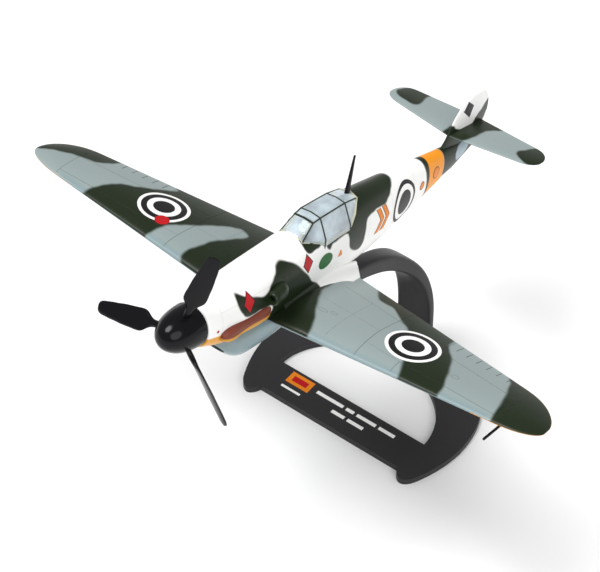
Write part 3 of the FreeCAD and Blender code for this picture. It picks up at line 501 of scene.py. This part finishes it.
# ------------------------------------------------------------------ wing and tailplane
HALF_SPAN, TIP_START, TIP_AXIS_Y = 68.9, 58.0, 38.5
WING_LEAD, WING_TRAIL = (31.4, 0.046), (62.1, -0.219)
WING_ROOT_Z, DIHEDRAL = -6.74, math.tan(math.radians(4.0))
TAIL_HALF_SPAN, TAIL_TIP_START, TAIL_AXIS_Y, TAIL_Z = 21.52, 17.0, 112.0, 10.5
TAIL_LEAD, TAIL_TRAIL = (104.5, 0.2), (118.5, -0.064)


def tip_taper(distance, half_span, start):
    """Share of the chord left at a distance from the middle, rounded off towards the tip."""
    share = np.clip((distance - start) / (half_span - start), 0, 1)
    return np.sqrt(np.maximum(0, 1 - share ** 2.6))


def aerofoil_loop(count, ratio, camber, blunt):
    """Chord shares and heights per chord, from the upper trailing edge round the nose to the lower one."""
    share = (1 - np.cos(np.linspace(0, math.pi, count))) / 2
    half = 5 * ratio * (0.2969 * np.sqrt(share) - 0.126 * share - 0.3516 * share ** 2
                        + 0.2843 * share ** 3 - 0.1036 * share ** 4) + blunt * share
    bend = camber * 4 * share * (1 - share)
    return np.concatenate([share[::-1], share[1:]]), np.concatenate([(bend + half)[::-1], (bend - half)[1:]])


def edges(d, lead_line, trail_line, half_span, start, axis, shift):
    """Leading and trailing edge at a distance from the middle, drawn in to the axis towards the tip."""
    kept = float(tip_taper(d, half_span, start))
    lead, trail = (line[0] + line[1] * d for line in (lead_line, trail_line))
    shifted = axis + shift * (1 - kept)
    return axis + (lead - axis) * kept, shifted + (trail - shifted) * kept


def closed_surface(loops):
    """Grid from a list of equal loops, closed at the last one by a point."""
    columns = len(loops[0])
    loops.append(loops[-1].mean(0)[None, :].repeat(columns, 0))
    return np.array(loops).reshape(-1, 3), len(loops), columns


def wing_grid(side):
    """Aerofoil loops from the middle to the rounded tip."""
    tip = TIP_START + 10.85 * np.sin(np.linspace(0, math.pi / 2, 60))
    loops = []
    for d in np.concatenate([np.arange(0, TIP_START, 0.35), tip]):
        lead, trail = edges(d, WING_LEAD, WING_TRAIL, HALF_SPAN, TIP_START, TIP_AXIS_Y, 1.2)
        share, height = aerofoil_loop(81, 0.14 - 0.03 * d / HALF_SPAN, 0.018, 0.004)
        chord = trail - lead
        z = WING_ROOT_Z + DIHEDRAL * d
        loops.append(np.stack([np.full_like(share, side * d), lead + share * chord, z + height * chord], -1))
    return closed_surface(loops)


# sprayed patches of the wing as (x, y) outlines
PORT_WING = [
    [(-4, 24), (-4, 48.6), (4.4, 49), (7, 47.4), (8.8, 44.4), (10.9, 40.3), (13.2, 36.4), (14.8, 32.4),
     (15.2, 24)],
    [(16, 61), (17.4, 55), (22, 54), (26, 50.8), (29, 48.5), (31, 43), (34.5, 38.5), (36.8, 33), (37, 26),
     (46.6, 26), (46.3, 34.4), (44.6, 40), (41.8, 46.2), (39.8, 48.6), (38.4, 51), (37.6, 56), (37, 61)],
    [(54.4, 52), (55, 47.9), (57.1, 41.5), (58.6, 34), (58.8, 26), (72, 26), (72, 52)],
]
STARBOARD_GREEN = [
    [(2, 26), (2, 66), (-37, 56), (-38, 52), (-43.3, 45.2), (-47.4, 41.2), (-50.2, 34), (-50.4, 26)],
    [(-72, 38.2), (-64.2, 40.9), (-61, 42.7), (-55.8, 45), (-53.6, 49.4), (-53, 58), (-72, 58)],
]
STARBOARD_GAP = [
    (-30.6, 26), (-30.5, 34), (-29.6, 38), (-26, 43), (-20.4, 51), (-18, 52), (-15.9, 50.2), (-17.4, 46),
    (-18.9, 42.7), (-20.2, 38), (-21, 33), (-17, 30), (-16, 26)]


def wing_paint(points):
    """Grey and green top with a painted highlight along the leading edge, pale underside with yellow tips."""
    x, y, z = points.T
    upper = np.clip((z - (WING_ROOT_Z + np.abs(x) * DIHEDRAL) + 0.02) / 0.25 + 0.5, 0, 1)
    green = sprayed(x, y, PORT_WING + STARBOARD_GREEN, 0.8)
    gap = sprayed(x, y, [STARBOARD_GAP], 0.8)
    green = green * (1 - gap)
    colour = mix(np.repeat(GREY[None, :], len(points), 0), GREEN, green)
    edge = WING_LEAD[0] + WING_LEAD[1] * np.abs(x)
    # painted highlight: the grey top is lightened towards pale blue in a strip along the leading edge
    nose = np.clip((edge + 1.1 - y) / 1.0 + 0.5, 0, 1) * np.clip((59 - np.abs(x)) / 2.0, 0, 1)
    colour = mix(colour, PALE_BLUE, nose * (1 - green) * 0.8)
    under = np.repeat(PALE_BLUE[None, :], len(points), 0)
    under = mix(under, YELLOW, np.clip((np.abs(x) - 54) / 0.4 + 0.5, 0, 1))
    return colour * upper[:, None] + under * (1 - upper[:, None])


def both_sides(grid):
    """Starboard half reversed and joined to the port half, centre line shared."""
    port, rows, columns = grid(1)
    port = port.reshape(rows, columns, 3)
    starboard = port[:0:-1].copy()
    starboard[:, :, 0] *= -1
    joined = np.concatenate([starboard, port])
    return joined.reshape(-1, 3), len(joined), columns


points, rows, columns = both_sides(wing_grid)
wing_faces = grid_faces(rows, columns)
wing = add_mesh("wing_skin", points, wing_faces, PAINT, colours=wing_paint(points))
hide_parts("main_wing")
WING = tree_of(points, wing_faces)

PORT_TAIL = [
    [(-1, 101), (2.2, 103.6), (4.8, 107.4), (4.9, 112.0), (6.0, 115.4), (7.4, 120), (-1, 120)],
    [(15.2, 111.6), (16.4, 109.6), (18.6, 108.6), (20.6, 109.2), (23, 112), (21, 118), (17.8, 118),
     (16.2, 114.6)],
]
STARBOARD_TAIL = [
    [(-20.3, 112.2), (-17.2, 110.1), (-13.6, 109.7), (-12.6, 111.6), (-13.4, 114.6), (-14.2, 119),
     (-18.6, 119), (-20.0, 115.4)],
    [(1, 101), (-1.8, 103.0), (-1.6, 106.4), (0.6, 108.6)],
]


def tail_grid(side):
    """Aerofoil loops of one tailplane from the root to the rounded tip."""
    tip = TAIL_TIP_START + 4.5 * np.sin(np.linspace(0, math.pi / 2, 40))
    share, height = aerofoil_loop(51, 0.095, 0.0, 0.006)
    loops = []
    for d in np.concatenate([np.arange(0.3, TAIL_TIP_START, 0.3), tip]):
        lead, trail = edges(d, TAIL_LEAD, TAIL_TRAIL, TAIL_HALF_SPAN, TAIL_TIP_START, TAIL_AXIS_Y, 0.8)
        chord = trail - lead
        across = np.full_like(share, side * d)
        loops.append(np.stack([across, lead + share * chord, TAIL_Z + height * chord], -1))
    return closed_surface(loops)


def tail_paint(points):
    """Grey and green top over a pale underside."""
    x, y, z = points.T
    upper = np.clip((z - TAIL_Z) / 0.15 + 0.5, 0, 1)
    green = sprayed(x, y, PORT_TAIL + STARBOARD_TAIL, 0.6)
    colour = mix(np.repeat(GREY[None, :], len(points), 0), GREEN, green)
    return colour * upper[:, None] + PALE_BLUE[None, :] * (1 - upper[:, None])


for side, node in ((1, "tailplane_left"), (-1, "tailplane_right")):
    points, rows, columns = tail_grid(side)
    piece = add_mesh(node + "_skin", points, grid_faces(rows, columns, flip=side < 0), PAINT,
                     colours=tail_paint(points))
    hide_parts(node)


# ------------------------------------------------------------------ markings laid on the skins
def cast(tree, points, direction, lift):
    """Points dropped onto a skin along a direction and lifted off it; None if any point misses the skin."""
    direction = Vector(direction)
    result = []
    for point in points:
        start = Vector(point) - direction * 90
        spot, normal, _, _ = tree.ray_cast(start, direction, 180)
        if spot is None:
            spot, normal, _, _ = tree.ray_cast(start + Vector((0.004, 0.003, 0.002)), direction, 180)
        if spot is None:
            return None
        if normal.dot(direction) > 0:
            normal = -normal
        result.append(tuple(spot + normal * lift))
    return np.array(result)


class Skin:
    """A surface that marks are laid on: plane coordinates (a, b) and the direction they are dropped along."""

    def __init__(self, tree, direction, place):
        self.tree, self.direction, self.place = tree, direction, place

    def drop(self, flat, lift=0.02):
        return cast(self.tree, [self.place(a, b) for a, b in flat], self.direction, lift)


PORT_SIDE = Skin(HULL, (-1, 0, 0), lambda a, b: (0, a, b))
FAR_SIDE = Skin(HULL, (1, 0, 0), lambda a, b: (0, a, b))
PORT_FIN = Skin(FIN, (-1, 0, 0), lambda a, b: (0, a, b))
HULL_TOP = Skin(HULL, (0, 0, -1), lambda a, b: (a, b, 0))
HULL_BELLY = Skin(HULL, (0, 0, 1), lambda a, b: (a, b, 0))
WING_TOP = Skin(WING, (0, 0, -1), lambda a, b: (a, b, 0))
WING_UNDER = Skin(WING, (0, 0, 1), lambda a, b: (a, b, 0))
drawn = {}


def collect(group, points, faces):
    """Adds a small mesh to a named group that later becomes one piece."""
    if points is None:
        return
    stock = drawn.setdefault(group, [[], [], 0])
    stock[0].append(points)
    stock[1].append(np.asarray(faces) + stock[2])
    stock[2] += len(points)


def disc(group, skin, centre, outer, inner=0.0, lift=0.03, stretch=1.0):
    """Round or ring-shaped mark; stretch scales it along the first plane axis."""
    rings = max(2, int((outer - inner) / 0.3) + 1)
    angle = np.linspace(0, 2 * math.pi, 72, endpoint=False)
    radius = np.linspace(max(inner, 0.01), outer, rings)
    flat = np.stack([centre[0] + stretch * radius[:, None] * np.cos(angle)[None, :],
                     centre[1] + radius[:, None] * np.sin(angle)[None, :]], -1).reshape(-1, 2)
    collect(group, skin.drop(flat, lift), grid_faces(rings, 72, wrap=True))


def sheet_mark(group, skin, corners, lift=0.03, step=0.4):
    """Four-cornered mark, filled with a fine grid."""
    a, b, c, d = (np.asarray(p, float) for p in corners)
    across = max(2, int(max(np.linalg.norm(b - a), np.linalg.norm(c - d)) / step) + 1)
    along = max(2, int(max(np.linalg.norm(d - a), np.linalg.norm(c - b)) / step) + 1)
    u, v = np.linspace(0, 1, across)[None, :, None], np.linspace(0, 1, along)[:, None, None]
    flat = (a * (1 - u) + b * u) * (1 - v) + (d * (1 - u) + c * u) * v
    collect(group, skin.drop(flat.reshape(-1, 2), lift), grid_faces(along, across))


def line(group, skin, path, width=0.10, lift=0.012, step=0.35):
    """Thin ribbon along a path."""
    path = np.asarray(path, float)
    for start, end in zip(path, path[1:]):
        length = np.linalg.norm(end - start)
        count = max(2, int(length / step) + 1)
        t = np.linspace(0, 1, count)[:, None]
        middle = start + (end - start) * t
        normal = np.array([-(end - start)[1], (end - start)[0]]) / length * width / 2
        flat = np.stack([middle - normal, middle + normal], 1).reshape(-1, 2)
        collect(group, skin.drop(flat, lift), grid_faces(count, 2))


def loop(group, skin, centre, half_a, half_b, width=0.08, power=2.0):
    """Thin closed outline; a power above 2 squares it off."""
    angle = np.linspace(0, 2 * math.pi, 33)
    c, d = np.cos(angle), np.sin(angle)
    path = np.stack([centre[0] + half_a * np.sign(c) * np.abs(c) ** (2 / power),
                     centre[1] + half_b * np.sign(d) * np.abs(d) ** (2 / power)], 1)
    line(group, skin, path, width)


# plain roundels on the wings and the fuselage
for skin, (cx, cy) in ((WING_TOP, (33.6, 43.6)), (WING_TOP, (-34.6, 43.4)), (WING_UNDER, (44.0, 43.0)),
                       (WING_UNDER, (-44.0, 43.0))):
    disc("mark_white", skin, (cx, cy), 6.1, 5.3)
    disc("mark_black", skin, (cx, cy), 5.3, 3.9)
    disc("mark_white", skin, (cx, cy), 3.9, 2.5)
    disc("mark_black", skin, (cx, cy), 2.5)
for skin in (PORT_SIDE, FAR_SIDE):
    disc("mark_black", skin, (82.0, 2.9), 5.1, 4.25)
    disc("mark_white", skin, (82.0, 2.9), 4.25, 3.0)
    disc("mark_black", skin, (82.0, 2.9), 3.0)
    # paired chevrons ahead of the roundel
    for shift in (0.0, 2.4):
        y = 69.0 + shift
        for end in (6.2, 0.0):
            for group, grow, lift in (("mark_outline", 0.22, 0.025), ("mark_orange", 0.0, 0.04)):
                sheet_mark(group, skin, [(y - grow, end), (y + 1.3 + grow, end), (y + 3.2 + grow, 3.1),
                                         (y + 1.9 - grow, 3.1)], lift)
    # plain spots by the tail band
    for centre, radius in (((90.6, 3.6), 0.9), ((97.6, 4.2), 1.3)):
        disc("mark_outline", skin, centre, radius + 0.2, lift=0.03)
        disc("mark_orange", skin, centre, radius, lift=0.045)
disc("mark_red", WING_TOP, (-31.5, 39.0), 1.7, lift=0.05)
# plain signs on the port side and the fin
disc("mark_green", PORT_SIDE, (48.8, 1.8), 1.8, stretch=1.45)
sheet_mark("mark_orange", PORT_SIDE, [(53.6, 0.7), (55.4, 0.7), (54.6, 2.4), (54.4, 2.4)], 0.03)
for y, z, half_a, half_b in ((42.2, 3.7, 1.5, 1.9), (21.9, 2.7, 1.55, 2.1)):
    for group, grow, lift in (("mark_black", 0.28, 0.03), ("mark_red", 0.0, 0.045)):
        a, b = half_a + grow, half_b + grow
        sheet_mark(group, PORT_SIDE, [(y - a, z), (y, z - b), (y + a, z), (y, z + b)], lift)
disc("mark_red", PORT_SIDE, (12.4, -0.2), 0.35)
sheet_mark("mark_black", PORT_FIN, [(108.8, 15.6), (111.8, 13.3), (113.0, 16.2), (110.5, 17.8)], 0.02)

# engraved lines of the wing
for side in (1, -1):
    def at(*pairs, side=side):
        return [(side * x, y) for x, y in pairs]

    for skin in (WING_TOP, WING_UNDER):
        line("engraved", skin, at((25.9, 32.8), (25.5, 41.7), (26.1, 56.0)), 0.12)
        line("engraved", skin, at((34.7, 33.1), (34.7, 36.7), (46, 36.4), (59.2, 35.6)), 0.09)
        line("engraved", skin, at((34.7, 36.7), (26.0, 37.6)), 0.05)
        line("engraved", skin, at((59.2, 34.4), (59.6, 40.0), (60.2, 46.6)), 0.10)
        line("engraved", skin, at((26.1, 50.0), (33, 49.3), (41.4, 46.2), (59.8, 43.2)), 0.09)
        line("engraved", skin, at((38.4, 47.3), (38.6, 53.3)), 0.10)
        line("engraved", skin, at((10.0, 52.9), (20.5, 51.1), (26.1, 50.0)), 0.09)
        line("engraved", skin, at((9.8, 44.5), (25.6, 43.0)), 0.05)
        line("engraved", skin, at((17.8, 34.0), (18.0, 51.5)), 0.05)
    for x, start, end in ((40.6, 49.9, 52.9), (43.3, 49.5, 52.3), (46.0, 49.1, 51.6), (48.7, 48.7, 51.0),
                          (51.4, 48.3, 50.5), (54.1, 48.0, 49.9)):
        line("tick", WING_TOP, at((x, start), (x + 0.2, end)), 0.16)
    loop("engraved", WING_TOP, (side * 12.4, 40.3), 1.3, 0.5)
    loop("engraved", WING_TOP, (side * 15.0, 41.0), 0.8, 0.45)
    loop("engraved", WING_TOP, (side * 46.0, 40.5), 0.9, 0.55)
    loop("engraved", WING_UNDER, (side * 24.0, 40.5), 3.2, 3.4, 0.1, 2.6)
    line("engraved", WING_UNDER, at((9.5, 36.5), (22.0, 37.0)), 0.1)
    line("engraved", WING_UNDER, at((9.5, 40.2), (21.0, 43.2)), 0.1)

# engraved lines of the fuselage
for skin in (PORT_SIDE, FAR_SIDE):
    for y, top, bottom in ((13.6, 5.1, -5.5), (35.6, 7.2, -2.2), (66.0, 9.6, -6.4), (76.0, 8.9, -5.0),
                           (86.5, 8.2, -3.2), (106.0, 6.8, 0.6)):
        line("faint", skin, [(y, top), (y, bottom)], 0.09)
    line("faint", skin, [(13.6, 3.4), (35.6, 4.0)], 0.08)
    line("faint", skin, [(35.6, 2.0), (62.0, 1.2)], 0.05)
    line("faint", skin, [(62.0, -4.0), (108.0, 1.6)], 0.05)
for side in (1, -1):
    line("faint", HULL_TOP, [(side * 2.2, 13.6), (side * 2.4, 40.0)], 0.08)
    loop("faint", HULL_TOP, (side * 1.6, 22.0), 0.45, 3.4, 0.10, 3.0)

MARKS = {"mark_white": MARK_WHITE, "mark_black": MARK_BLACK, "mark_orange": MARK_ORANGE, "mark_red": MARK_RED,
         "mark_green": MARK_GREEN, "mark_outline": MARK_OUTLINE, "tick": MARK_BLACK, "engraved": LINE,
         "faint": FAINT_LINE}
for group, (parts, faces, _) in drawn.items():
    piece = add_mesh(group + "_sheet", np.vstack(parts), np.vstack(faces), MARKS[group])

# rims and walls of the holes in the belly, with painted shade darkening the walls and floors
HOLE_FLOOR_Z, HOLE_SIDES = -6.6, 64
for index, (hole_x, hole_y, radius) in enumerate(BELLY_HOLES):
    angle = np.linspace(0, 2 * math.pi, HOLE_SIDES, endpoint=False)
    rings = []
    for reach in (radius, radius + 0.3, radius + 0.65):
        flat = [(hole_x + reach * math.cos(a), hole_y + reach * math.sin(a)) for a in angle]
        rings.append(HULL_BELLY.drop(flat, 0.01))
    wall = rings[0].copy()
    wall[:, 2] = HOLE_FLOOR_Z
    cap = wall * 0 + np.array([hole_x, hole_y, HOLE_FLOOR_Z])
    points = np.vstack([cap, wall] + rings)
    colours = np.repeat(PALE_BLUE[None, :], len(points), 0)
    # painted shade: the floor and wall rows are darkened to a quarter of the pale blue
    colours[:2 * HOLE_SIDES] *= 0.25
    faces = grid_faces(5, HOLE_SIDES, wrap=True, flip=True)
    piece = add_mesh("belly_hole_rim_%d" % (index + 1), points, faces, PAINT, colours=colours)


# ------------------------------------------------------------------ canopy frames
# y, then (x, z) of the skirt, the sill and the roof corner, then the crown's height
CANOPY_ROWS = {
    "front": (42.4, 3.5, 5.5, 3.0, 7.65, 2.6, 8.1, 8.3),
    "screen": (46.2, 4.5, 4.6, 4.3, 7.1, 2.45, 10.85, 11.05),
    "hoop1": (48.5, 5.25, 4.0, 5.05, 6.9, 2.6, 11.3, 11.6),
    "hoop2": (57.8, 5.25, 4.0, 5.1, 6.9, 2.5, 11.4, 11.7),
}


def canopy_point(row, level, side):
    """Corner of a canopy section: level 0 skirt, 1 sill, 2 roof corner, 3 crown."""
    y = row[0]
    x, z = ((row[1], row[2]), (row[3], row[4]), (row[5], row[6]), (0.0, row[7]))[level]
    return np.array([side * x, y, z])


dark_bars = [[], [], 0]
pale_bars = [[], [], 0]


def bar(start, end, width=0.42, height=0.16, stock=dark_bars):
    """Flat strip from one point to another, raised a little off the glazing."""
    along = end - start
    along = along / np.linalg.norm(along)
    middle = (start + end) / 2
    out = np.array([middle[0], 0.0, middle[2] - 3.0])
    out -= along * out.dot(along)
    out /= np.linalg.norm(out)
    across = np.cross(along, out)
    corners = []
    for place in (start - along * width * 0.3, end + along * width * 0.3):
        for a, b in ((-1, -0.35), (1, -0.35), (0.8, 0.65), (-0.8, 0.65)):
            corners.append(place + across * (a * width / 2) + out * (b * height))
    stock[0].append(np.array(corners))
    faces = [(0, 1, 5, 4), (1, 2, 6, 5), (2, 3, 7, 6), (3, 0, 4, 7), (3, 2, 1, 0), (4, 5, 6, 7)]
    stock[1].append(np.array(faces) + stock[2])
    stock[2] += 8


for side in (1, -1):
    def corner(row, level, side=side):
        return canopy_point(CANOPY_ROWS[row], level, side)

    rear_low, rear_side = np.array([side * 5.1, 57.95, 6.7]), np.array([side * 4.15, 60.3, 8.5])
    rear_roof, rear_top = np.array([side * 2.35, 62.7, 10.75]), np.array([0.0, 63.2, 11.15])
    bar(corner("front", 1), corner("screen", 2), 0.34)
    bar(corner("screen", 2), corner("hoop1", 2), 0.36)
    for hoop in ("hoop1", "hoop2"):
        bar(corner(hoop, 0), corner(hoop, 1), 0.34)
        bar(corner(hoop, 1), corner(hoop, 2), 0.34)
        bar(corner(hoop, 2), corner(hoop, 3), 0.34)
    bar(corner("hoop1", 2), corner("hoop2", 2), 0.34)
    bar(corner("hoop2", 2), rear_roof, 0.34)
    bar(corner("screen", 2), corner("screen", 3), 0.62)
    bar(corner("front", 1), corner("front", 2), 0.3, stock=pale_bars)
    bar(corner("front", 2), corner("front", 3), 0.3, stock=pale_bars)
    inner = np.array([-0.42 * side, 0.0, 0.05])
    bar(corner("front", 2) + inner, corner("screen", 2) + inner, 0.2, stock=pale_bars)
    low = np.array([1.0, 1.0, 0.86])
    bar(corner("front", 1), corner("hoop1", 1) * low, 0.26, stock=pale_bars)
    bar(corner("hoop1", 1) * low, corner("hoop2", 1) * low, 0.3, stock=pale_bars)
    for first, second in ((rear_low, rear_side), (rear_side, rear_roof), (rear_roof, rear_top)):
        bar(first, second, 0.5, 0.2, stock=pale_bars)
for name, stock, material in (("canopy_frame", dark_bars, FRAME_GREEN),
                              ("canopy_sill", pale_bars, FRAME_PALE)):
    piece = add_mesh(name, np.vstack(stock[0]), np.vstack(stock[1]), material, smooth=False)


# ------------------------------------------------------------------ marks on the stand
def stand_plate_mark(name, material, rectangles, lift=0.02):
    """Flat rectangles (x0, y0, x1, y1) on the stand's front bar."""
    points, faces = [], []
    z = PLATE_TOP + lift
    for x0, y0, x1, y1 in rectangles:
        base = len(points)
        points += [(x0, y0, z), (x1, y0, z), (x1, y1, z), (x0, y1, z)]
        faces.append((base, base + 1, base + 2, base + 3))
    piece = add_mesh(name, points, faces, material, body="stand", smooth=False, local=False)


stand_plate_mark("base_rules", MARK_WHITE, [
    (-8.6, 1.9, -0.4, 2.9), (0.5, 1.9, 2.9, 2.9), (3.8, 1.9, 9.6, 2.9), (10.5, 1.9, 15.3, 2.9),
    (-2.0, -0.8, 1.9, 0.2), (2.8, -0.8, 7.6, 0.2), (-17.2, -1.5, -11.4, -0.8)])
stand_plate_mark("base_chip_edge", MARK_ORANGE, [(-17.3, 0.5, -10.4, 4.2)])
stand_plate_mark("base_chip_middle", MARK_RED, [(-16.1, 1.5, -11.6, 3.2)], 0.03)


# ------------------------------------------------------------------ pieces kept from the frame
def dress(node, material, bevel=0.0):
    """Gives a frame node its finish and, if asked, broken edges."""
    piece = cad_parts[node]
    piece.data.materials.clear()
    piece.data.materials.append(material)
    if bevel:
        rounding = piece.modifiers.new("edge_break", "BEVEL")
        rounding.width = bevel * MM
        rounding.segments = 2
        rounding.limit_method = "ANGLE"
        rounding.angle_limit = math.radians(50)
    return piece


dress("stand_base", STAND, 0.25)
dress("stand_arm", STAND)
dress("oil_cooler_fairing", BLUE)
dress("wing_radiator_left", BLUE, 0.12)
dress("wing_radiator_right", BLUE, 0.12)
dress("supercharger_intake", INTAKE)
dress("exhaust_left", EXHAUST)
dress("exhaust_right", EXHAUST)
dress("canopy", GLASS)
for node in ("cockpit_tub", "pilot_seat", "instrument_panel", "control_stick", "belly_socket"):
    dress(node, COCKPIT)
for node in ("antenna_mast", "pitot_tube", "spinner", "spinner_backplate", "propeller_blades"):
    dress(node, BLACK)
dress("tail_wheel", TYRE)
dress("nose_bearing", BRASS)
for node in ("wing_screws", "prop_shaft", "retaining_collar"):
    dress(node, STEEL)

# ------------------------------------------------------------------ studio
# half-width of the floor in metres
FLOOR = 12.0
floor_mesh = bpy.data.meshes.new("floor")
floor_corners = [(-FLOOR, -FLOOR, 0), (FLOOR, -FLOOR, 0), (FLOOR, FLOOR, 0), (-FLOOR, FLOOR, 0)]
floor_mesh.from_pydata(floor_corners, [], [(0, 1, 2, 3)])
floor_mesh.materials.append(finish_material("floor_card", (0.86, 0.86, 0.86), rough=(0.7, 0.8),
                                            tone=(0.99, 1.01), bump=0.0))
floor = bpy.data.objects.new("floor", floor_mesh)
bpy.context.scene.collection.objects.link(floor)

world = bpy.data.worlds.new("studio")
world.use_nodes = True
world.node_tree.nodes["Background"].inputs["Color"].default_value = (1.0, 1.0, 1.0, 1)
world.node_tree.nodes["Background"].inputs["Strength"].default_value = 0.38
bpy.context.scene.world = world


def soft_sun(name, place, strength, spread):
    """Even directional light with a broad, soft edge."""
    light = bpy.data.lights.new(name, "SUN")
    light.energy = strength
    light.angle = math.radians(spread)
    lamp = bpy.data.objects.new(name, light)
    lamp.location = place
    lamp.rotation_euler = (-Vector(place)).to_track_quat("-Z", "Y").to_euler()
    bpy.context.scene.collection.objects.link(lamp)


soft_sun("key_light", (-0.25, -0.30, 0.90), 2.9, 30.0)
soft_sun("fill_light", (0.60, -0.35, 0.50), 1.3, 45.0)
bpy.context.scene.view_settings.view_transform = "Standard"
